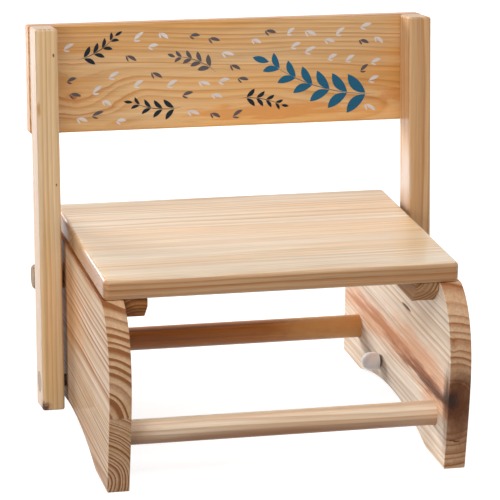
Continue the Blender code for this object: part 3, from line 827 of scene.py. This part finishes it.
upright_pines = {
    "left": pine(
        "left_upright_pine", "z", "X",
        [(1.0, (-0.21, 0.01, 0.0), (-lean_degrees, 0, 0), 0.0042, 0.55, 1.0)],
        (0.77, 0.58, 0.37), (0.74, 0.49, 0.25), (0.46, 0.21, 0.055), sway=0.006,
        flat=rear_facing, edge_tint=(0.85, 0.86, 1.02),
    ),
    "right": pine(
        "right_upright_pine", "z", "X",
        [(1.0, (0.14, 0.0, 0.6), (-lean_degrees, 0, 0), 0.0046, 0.95, 1.0)],
        (0.69, 0.42, 0.21), (0.62, 0.34, 0.145), (0.345, 0.14, 0.04), sway=0.006,
        flat=rear_facing, edge_tint=(1.15, 1.30, 1.52),
    ),
}
dark_knot = (0.10, 0.035, 0.012)
put_marks_and_painted_light(
    upright_pines["left"],
    ((-0.1752, 0.0627, 0.346), (0.0012, 0.004, 0.0022), dark_knot, 0.9, 0.5, 0.5),
    ((-0.1748, 0.0480, 0.225), (0.0010, 0.004, 0.0016), dark_knot, 0.8, 0.5, 0.5),
    ((-0.1903, 0.0566, 0.296), (0.003, 0.004, 0.010), (0.50, 0.20, 0.05), 0.8, 0.6, 0.9),
    ((-0.1915, 0.0224, 0.0105), (0.010, 0.012, 0.011), dark_knot, 1.0, 0.5, 0.7),
)
put_marks_and_painted_light(
    upright_pines["right"],
    # Painted reflection: a pale, pinkish-white patch on the right upright's inner face beside and
    # above the seat, where the seat is reflected.
    ((0.1707, 0.062, 0.212), (0.004, 0.030, 0.050), (0.66, 0.58, 0.53), 0.8, 0.3, 0.9),
)
for hand, hand_sign in hands.items():
    near_x, far_x = sorted(
        (hand_sign * (upright_outer_x - upright_width), hand_sign * upright_outer_x)
    )
    bar = saw_bar(
        (near_x, -upright_depth / 2, -upright_tail),
        (far_x, upright_depth / 2, upright_length - upright_tail),
    )
    ease_edges(bar, upright_edge_round, steps=5)
    lean_back(bar)
    mouth = (hand_sign * (upright_outer_x + bore_run), pivot.y, pivot.z)
    inward = (-hand_sign, 0, 0)
    cut_away(bar, [
        drill(counterbore_diameter, mouth, inward, bore_run + counterbore_depth),
        drill(bolt_hole, mouth, inward, upright_width + 2 * bore_run),
    ])
    finish_piece(
        bar, f"{hand}_back_post", upright_pines[hand], "upright_pine", "back_frame",
        f"{hand}_upright",
    )

# Back board: a wide pine board across the rear of both uprights, held by two screws in each.
# Its edges are eased, and its front face carries a print of leaves.
board_thickness = 0.0195
board_height = 0.1025
board_low = upright_length - upright_tail - board_height
board_half_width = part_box("back_board")[1].x
board_front = upright_depth / 2 + joint_gap
board_edge_round = 0.0022
board_screw_shares = (0.27, 0.73)  # how far up the board its lower and upper screws sit
screw_x = upright_outer_x - upright_width / 2


def board_screw_head(hand_sign, number):
    """The middle of a screw's head on the board's rear face, before the back leans."""
    height = board_low + board_screw_shares[number - 1] * board_height
    return Vector((hand_sign * screw_x, board_front + board_thickness, height))


board = saw_bar(
    (-board_half_width, board_front, board_low),
    (board_half_width, board_front + board_thickness, board_low + board_height),
)
ease_edges(board, board_edge_round, steps=5)
bpy.ops.object.transform_apply()
cut_away(board, [
    countersink(board_screw_head(hand_sign, number), (0, -1, 0), board_thickness)
    for hand_sign in hands.values() for number in (1, 2)
])
lean_back(board)
board_knot = (-0.1504, 0.0915, 0.298)
board_pine = pine(
    "board_pine", "x", "Z", [(1.0, (0.1, 0.1455, 0.2700), (0, 1.2, 1.0), 0.0036, 0.9, 1.0)],
    (0.72, 0.475, 0.245), (0.66, 0.34, 0.105), (0.49, 0.19, 0.04), sway=0.014,
    flat=rear_facing, edge_tint=(0.9, 0.8, 0.7),
    knots=[(board_knot, (0.075, 0.03, 0.038), 0.011)],
)
plain_patch, orange_patch = (0.86, 0.45, 0.14), (0.70, 0.29, 0.07)
put_marks_and_painted_light(
    board_pine,
    ((0.020, 0.0905, 0.298), (0.200, 0.020, 0.034), plain_patch, 0.35, 0.5, 0.9),
    ((0.060, 0.0905, 0.262), (0.175, 0.020, 0.030), plain_patch, 0.7, 0.6, 0.6),
    ((0.040, 0.0905, 0.278), (0.105, 0.020, 0.009), orange_patch, 0.8, 1.2, 0.5),
    ((0.075, 0.0905, 0.258), (0.065, 0.020, 0.006), orange_patch, 0.75, 1.2, 0.5),
    ((-0.010, 0.0905, 0.251), (0.045, 0.020, 0.004), orange_patch, 0.6, 1.0, 0.6),
    (board_knot, (0.0034, 0.004, 0.0026), dark_knot, 0.9, 0.5, 0.5),
    (board_knot, (0.014, 0.010, 0.008), (0.55, 0.21, 0.05), 0.6, 0.7, 0.9),
    ((0.165, 0.0905, 0.289), (0.022, 0.020, 0.010), (0.60, 0.23, 0.05), 0.6, 0.9, 0.8),
)
finish_piece(board, "back_rest_board", board_pine, "board_pine", "back_frame", "back_board")

# Leaf print: branches, sprigs and loose leaves in teal, navy, slate and off-white. They are screen
# printed on the board's front in a thin coat of ink.
ink_thickness = 0.00012
ink_lap = 0.00002  # how far the ink reaches into the wood
ink_weld = 0.000005
ink_sheen = 0.2
leaf_steps = 7  # straight steps in each side of a leaf
leaf_belly = (0.30, 0.72)  # how far along a leaf its sides bulge most
leaf_stalk = 0.001
leaf_bow = 0.06  # of its length
leaf_spread, leaf_close = 46, 10  # degrees from the stem at its root, less at its tip
leaf_shrink = 0.45  # how much smaller the leaves at the tip are
stem_width = 0.0007
tip_leaf_length, tip_leaf_width = 0.62, 0.6  # of the sprig's largest leaves
print_half_width = 0.160
print_margin = 0.008
print_low = (-print_half_width, board_low + print_margin)
print_high = (print_half_width, board_low + board_height - print_margin)
leaf_random = random.Random(11)


def printing_ink(name, colour):
    """A matt ink through which the wood's grain shows faintly."""
    made, shader, place = start_surface(name)
    grain = noise(place["Object"], (18, 420, 420), detail=3).outputs["Fac"]
    light = arithmetic("MULTIPLY_ADD", grain, 0.35, 0.82)
    feed(shader, {
        "Base Color": vectors("SCALE", colour, light),
        "Roughness": arithmetic("MULTIPLY_ADD", grain, 0.2, 0.36),
        "Specular IOR Level": ink_sheen,
    })
    return made


def blade(start, end, bow, width):
    """A leaf or a stem from start to end, which bows sideways by its middle's shift."""
    start, end = Vector(start), Vector(end)
    along = end - start
    sideways = Vector((-along.y, along.x)).normalized()
    one, other = (
        [start + along * share + sideways * (bow + side * width / 2) * 4 / 3
         for share in leaf_belly]
        for side in (1, -1)
    )
    return [(start, other[0], one[0]), (end, one[1], other[1])]


def sprig(start, end, bow, pairs, leaf_length, leaf_width):
    """A stem with pairs of leaves that grow smaller towards its tip."""
    start, end = Vector(start), Vector(end)
    along = end - start
    sideways = Vector((-along.y, along.x)).normalized()
    stems = [blade(start, end, bow, stem_width)]
    tip = end + along.normalized() * leaf_length * tip_leaf_length
    leaves = [blade(end, tip, 0, leaf_width * tip_leaf_width)]
    for pair in range(pairs):
        share = (pair + 0.7) / (pairs + 0.4)
        size = 1 - leaf_shrink * share
        root = start + along * share + sideways * bow * 4 * share * (1 - share)
        heading = (along + sideways * bow * 4 * (1 - 2 * share)).normalized()
        for side in (1, -1):
            spread = Matrix.Rotation(side * math.radians(leaf_spread - leaf_close * share), 2)
            towards = spread @ heading
            leaves.append(blade(
                root + towards * leaf_stalk, root + towards * (leaf_length * size + leaf_stalk),
                -side * leaf_length * leaf_bow, leaf_width * size,
            ))
    return stems, leaves


def print_shapes(name, colour, *groups):
    """Prints groups of outlines, drawn across the board and up from the pivot, in one ink."""
    plates = []
    for outlines in groups:
        plate = outline_curve(*outlines)
        plate.data.resolution_u = leaf_steps
        plate.data.fill_mode = "BOTH"
        plate.data.extrude = ink_thickness / 2
        bpy.ops.object.convert(target="MESH")
        plates.append(plate)
    deselect()
    for plate in plates:
        plate.select_set(True)
    bpy.context.view_layer.objects.active = plates[0]
    if len(plates) > 1:
        bpy.ops.object.join()
    plates[0].rotation_euler = (math.pi / 2, 0, 0)
    plates[0].location.y = board_front - ink_thickness / 2 + ink_lap
    lean_back(plates[0])
    bpy.ops.object.mode_set(mode="EDIT")
    close_up(ink_weld)
    finish_piece(plates[0], name, printing_ink(f"{name}_ink", colour), "board_pine", "back_frame")


teal, navy = (0.014, 0.110, 0.200), (0.005, 0.012, 0.020)
slate, off_white = (0.105, 0.088, 0.090), (0.70, 0.64, 0.62)
big_branch = sprig((0.150, 0.262), (0.040, 0.296), 0.010, 6, 0.027, 0.0105)
navy_sprigs = [
    sprig((-0.045, 0.256), (-0.094, 0.262), 0.004, 4, 0.014, 0.0050),
    sprig((-0.148, 0.304), (-0.110, 0.326), -0.004, 4, 0.013, 0.0048),
    sprig((0.010, 0.262), (0.052, 0.254), 0.003, 4, 0.012, 0.0046),
]
slate_sprig = sprig((-0.012, 0.288), (-0.052, 0.304), -0.004, 4, 0.013, 0.0052)
print_shapes("teal_leaf_print", teal, *big_branch)
print_shapes("navy_leaf_print", navy, *(group for one in navy_sprigs for group in one))
taken = [
    Vector(corner[0]) for one in (big_branch, *navy_sprigs, slate_sprig)
    for leaf in one[1] for corner in leaf
]
loose_leaves = {"slate": [], "off_white": []}
loose_tries, loose_room, loose_turn, loose_lengths = 400, 0.0135, 0.7, (0.009, 0.012)
side_turn, side_share, side_lap = -0.75, 0.55, 0.0008
for _ in range(loose_tries):
    root = Vector(leaf_random.uniform(print_low[i], print_high[i]) for i in (0, 1))
    heading = Matrix.Rotation(leaf_random.uniform(-loose_turn, loose_turn), 2) @ Vector((1, 0))
    length = leaf_random.uniform(*loose_lengths)
    tip = root + heading * length
    middle = (root + tip) / 2
    inside = all(print_low[i] < tip[i] < print_high[i] for i in (0, 1))
    if not inside or min((middle - other).length for other in taken) < loose_room:
        continue
    taken.append(middle)
    shade = "slate" if len(taken) % 3 == 0 else "off_white"
    side_tip = root + Matrix.Rotation(side_turn, 2) @ heading * length * side_share
    loose_leaves[shade] += [
        blade(root, tip, bow=0.0007, width=0.0034),
        blade(root - heading * side_lap, side_tip, bow=-0.0003, width=0.0018),
    ]
print_shapes("slate_leaf_print", slate, *slate_sprig, loose_leaves["slate"])
print_shapes("white_leaf_print", off_white, loose_leaves["off_white"])

# Pivot hardware: on each side a wooden plug, a bolt with its washers, a brown nylon spacer, a
# lock nut and a pale domed cap over the nut, from outside to inside. The plug is turned from pine
# and glued in, and the cap is pressed over the nut.
cap_dome_height = 0.0085
cap_dome_steps = 12
cap_mouth_round = 0.0008
cap_pocket = 0.0122
cap_pocket_depth = 0.0082
plug_edge_ease = 0.0005
ring_edge_ease = 0.0003
ring_facets, plug_facets = 48, 64
mottle_stretch = (400, 400, 400)


def plain_surface(name, colour, roughness, metallic=0.0, mottle=0.1, coat=0.0):
    """A smooth metal or plastic with a faint, fine change of colour and gloss."""
    made, shader, place = start_surface(name)
    spots = noise(place["Object"], mottle_stretch, detail=3).outputs["Fac"]
    light = arithmetic("MULTIPLY_ADD", spots, mottle, 1 - mottle / 2)
    feed(shader, {
        "Base Color": vectors("SCALE", colour, light),
        "Roughness": arithmetic("MULTIPLY_ADD", spots, mottle, roughness - mottle / 2),
        "Metallic": metallic, "Coat Weight": coat,
    })
    return made


def turn_ring(node, hand_sign):
    """A washer or a spacer with its edges eased, open round the bolt."""
    outer, length, radius = round_span(node, -hand_sign)
    ease = ring_edge_ease
    return turn_piece(
        [(0, bolt_hole / 2), (0, radius - ease), (ease, radius), (length - ease, radius),
         (length, radius - ease), (length, bolt_hole / 2), (0, bolt_hole / 2)],
        ring_facets, outer, (-hand_sign, 0, 0), hollow=True,
    )


zinc = plain_surface("bright_zinc", (0.58, 0.58, 0.60), 0.32, 1.0)
dark_zinc = plain_surface("dark_zinc_plate", (0.20, 0.19, 0.18), 0.42, 1.0)
nylon = plain_surface("brown_nylon_plastic", (0.09, 0.05, 0.03), 0.5)
cap_plastic = plain_surface("pale_cap_plastic", (0.96, 0.94, 0.96), 0.25, mottle=0.05, coat=0.3)
plug_pine = pine(
    "plug_pine", "x", "Z", [(1.0, (0.7, 0.030, 0.025), (0, 0, 0), 0.0022, 0.8, 1.0)],
    (0.34, 0.225, 0.105), (0.29, 0.175, 0.08), (0.18, 0.09, 0.03),
)
for hand, hand_sign in hands.items():
    inward = (-hand_sign, 0, 0)
    outer, length, radius = round_span(f"{hand}_nut_cap", -hand_sign)
    straight = length - cap_dome_height
    dome = [
        (straight + cap_dome_height * math.sin(turn), radius * math.cos(turn))
        for turn in (step * math.pi / (2 * cap_dome_steps) for step in range(1, cap_dome_steps))
    ]
    cap = turn_piece(
        [(0, radius - cap_mouth_round), (cap_mouth_round * 0.3, radius - cap_mouth_round * 0.3),
         (cap_mouth_round, radius), (straight, radius), *dome, (length, 0)],
        ring_facets, outer, inward,
    )
    mouth = outer + Vector((hand_sign * bore_run, 0, 0))
    cut_away(cap, [drill(cap_pocket, mouth, inward, bore_run + cap_pocket_depth)])
    finish_piece(
        cap, f"{hand}_domed_cap", cap_plastic, "pale_plastic", "back_frame", f"{hand}_nut_cap"
    )

    outer, length, radius = round_span(f"{hand}_bore_plug", -hand_sign)
    plug = turn_piece(
        [(0, radius - plug_edge_ease), (plug_edge_ease, radius), (length, radius)],
        plug_facets, outer, inward,
    )
    finish_piece(
        plug, f"{hand}_wooden_plug", plug_pine, "plug_pine", "back_frame", f"{hand}_bore_plug"
    )

    for ending, piece_name, surface, slot in (
        ("spacer", "nylon_spacer", nylon, "brown_nylon"),
        ("inner_washer", "thin_washer", dark_zinc, "dark_zinc"),
    ):
        ring = turn_ring(f"{hand}_{ending}", hand_sign)
        finish_piece(
            ring, f"{hand}_{piece_name}", surface, slot, "back_frame", f"{hand}_{ending}"
        )
    for ending, surface in (
        ("pivot_bolt", zinc), ("head_washer", dark_zinc), ("lock_nut", dark_zinc),
    ):
        frame["nodes"][f"{hand}_{ending}"].material_slots[0].material = surface

# Wood screws: twelve countersunk screws of zinc plated steel, with a cross recess. Two hold each
# cleat to the seat, two hold it to the side panel, and two hold the board to each upright.
screw_lengths = {"seat": 0.030, "side": 0.032, "back": 0.045}
screw_facets = 32
screw_point = 0.004
recess_length = 0.0042
recess_width = 0.0009
recess_depth = 0.0016


def turn_screw(length):
    """A screw that points up from zero, with its recess cut into the head."""
    head, shank = screw_head_diameter / 2, screw_shank_diameter / 2
    screw = turn_piece(
        [(0, head), (screw_head_height, shank), (length - screw_point, shank), (length, 0)],
        screw_facets, (0, 0, 0), (0, 0, 1),
    )
    half, side = recess_length / 2, recess_width / 2
    cut_away(screw, [
        saw_bar((-half, -side, -recess_depth), (half, side, recess_depth)),
        saw_bar((-side, -half, -recess_depth), (side, half, recess_depth)),
    ])
    return screw


for kind, length in screw_lengths.items():
    body = "back_frame" if kind == "back" else "stool"
    pattern = turn_screw(length)
    for hand, hand_sign in hands.items():
        for number in (1, 2):
            node = f"{hand}_{kind}_screw_{number}"
            if kind == "back":
                aim = leaning.to_3x3() @ Vector((0, -1, 0))
                start = leaning @ board_screw_head(hand_sign, number)
            else:
                aim = Vector((0, 0, 1) if kind == "seat" else (hand_sign, 0, 0))
                start, _ = screw_head(node, aim)
            screw = pattern.copy()
            screw.data = pattern.data.copy()
            bpy.context.collection.objects.link(screw)
            screw.rotation_euler = aim.to_track_quat("Z", "Y").to_euler()
            screw.location = start
            finish_piece(
                screw, f"{hand}_{kind}_wood_screw_{number}", zinc, "zinc_steel", body, node
            )
    bpy.data.objects.remove(pattern, do_unlink=True)

# The photographer's set: a pale floor, a white backdrop and six softboxes. The strong one stands
# at the left rear with a small one beside it. Weaker ones stand overhead, at the left, at the
# front left and at the right. The camera looks down from the front left through a long lens.
floor_size = 12
floor_shade = 0.40
floor_glow = 0.88
backdrop_light = 0.30
lamp_aim = Vector((0, 0, 0.15))
camera_place = (-0.6261, -2.50289, 0.9572)
camera_yaw, camera_pitch, camera_roll = (math.radians(turn) for turn in (14.079, 17.036, 1.260))
sensor_width = 36
focal_pixels, photo_pixels = 2863.5, 500
deselect()
bpy.ops.mesh.primitive_plane_add(size=floor_size, location=(0, 0, 0))
floor = bpy.context.object
floor.name = "studio_floor"


def seen_directly(tree):
    """One where the camera, a reflection or a clear material looks, and zero for plain light."""
    path = add_node(tree, "LightPath").outputs
    seen = arithmetic("MAXIMUM", path["Is Camera Ray"], path["Is Glossy Ray"])
    return arithmetic("MAXIMUM", seen, path["Is Transmission Ray"])


floor_paint = bpy.data.materials.new("floor_paint")
floor_paint.use_nodes = True
tree = floor_paint.node_tree
tree.nodes.clear()
paint = add_node(tree, "BsdfDiffuse", {"Color": (floor_shade,) * 3 + (1,)})
glow = arithmetic("MULTIPLY", seen_directly(tree), floor_glow)
glow = add_node(tree, "Emission", {"Strength": glow})
both = add_node(tree, "AddShader", {0: paint.outputs[0], 1: glow.outputs[0]})
add_node(tree, "OutputMaterial", {"Surface": both.outputs[0]})
floor.data.materials.append(floor_paint)

world = bpy.data.worlds.new("studio_world")
bpy.context.scene.world = world
world.use_nodes = True
tree = world.node_tree
tree.nodes.clear()
strength = add_node(tree, "Mix", {0: seen_directly(tree), 2: backdrop_light, 3: 1.0})
backdrop = add_node(
    tree, "Background", {"Color": (1, 1, 1, 1), "Strength": strength.outputs[0]}
)
add_node(tree, "OutputWorld", {"Surface": backdrop.outputs[0]})

for name, size, power, place, shines in (
    ("rear_key_softbox", 1.0, 48, (-1.05, 1.85, 0.64), False),
    ("rear_window", 0.24, 4, (-0.85, 1.9, 0.62), True),
    ("overhead_softbox", 1.2, 14, (-0.1, -0.6, 1.8), True),
    ("left_softbox", 1.0, 7.2, (-1.9, -0.6, 0.9), True),
    ("front_softbox", 0.9, 8.6, (-1.15, -1.75, 0.45), False),
    ("right_softbox", 1.0, 5, (1.9, -0.3, 0.7), True),
):
    lamp_data = bpy.data.lights.new(name, "AREA")
    lamp_data.size = size
    lamp_data.energy = power
    lamp = bpy.data.objects.new(name, lamp_data)
    bpy.context.scene.collection.objects.link(lamp)
    lamp.visible_glossy = shines
    lamp.location = place
    lamp.rotation_euler = (lamp_aim - Vector(place)).to_track_quat("-Z", "Y").to_euler()

camera_data = bpy.data.cameras.new("long_lens")
camera_data.sensor_width = sensor_width
camera_data.lens = focal_pixels / photo_pixels * sensor_width
camera_data.clip_end = 50
camera = bpy.data.objects.new("studio_camera", camera_data)
bpy.context.scene.collection.objects.link(camera)
camera.matrix_world = (
    Matrix.Translation(camera_place) @ Matrix.Rotation(-camera_yaw, 4, "Z")
    @ Matrix.Rotation(math.pi / 2 - camera_pitch, 4, "X") @ Matrix.Rotation(camera_roll, 4, "Z")
)
bpy.context.scene.camera = camera
bpy.context.scene.view_settings.view_transform = "Standard"
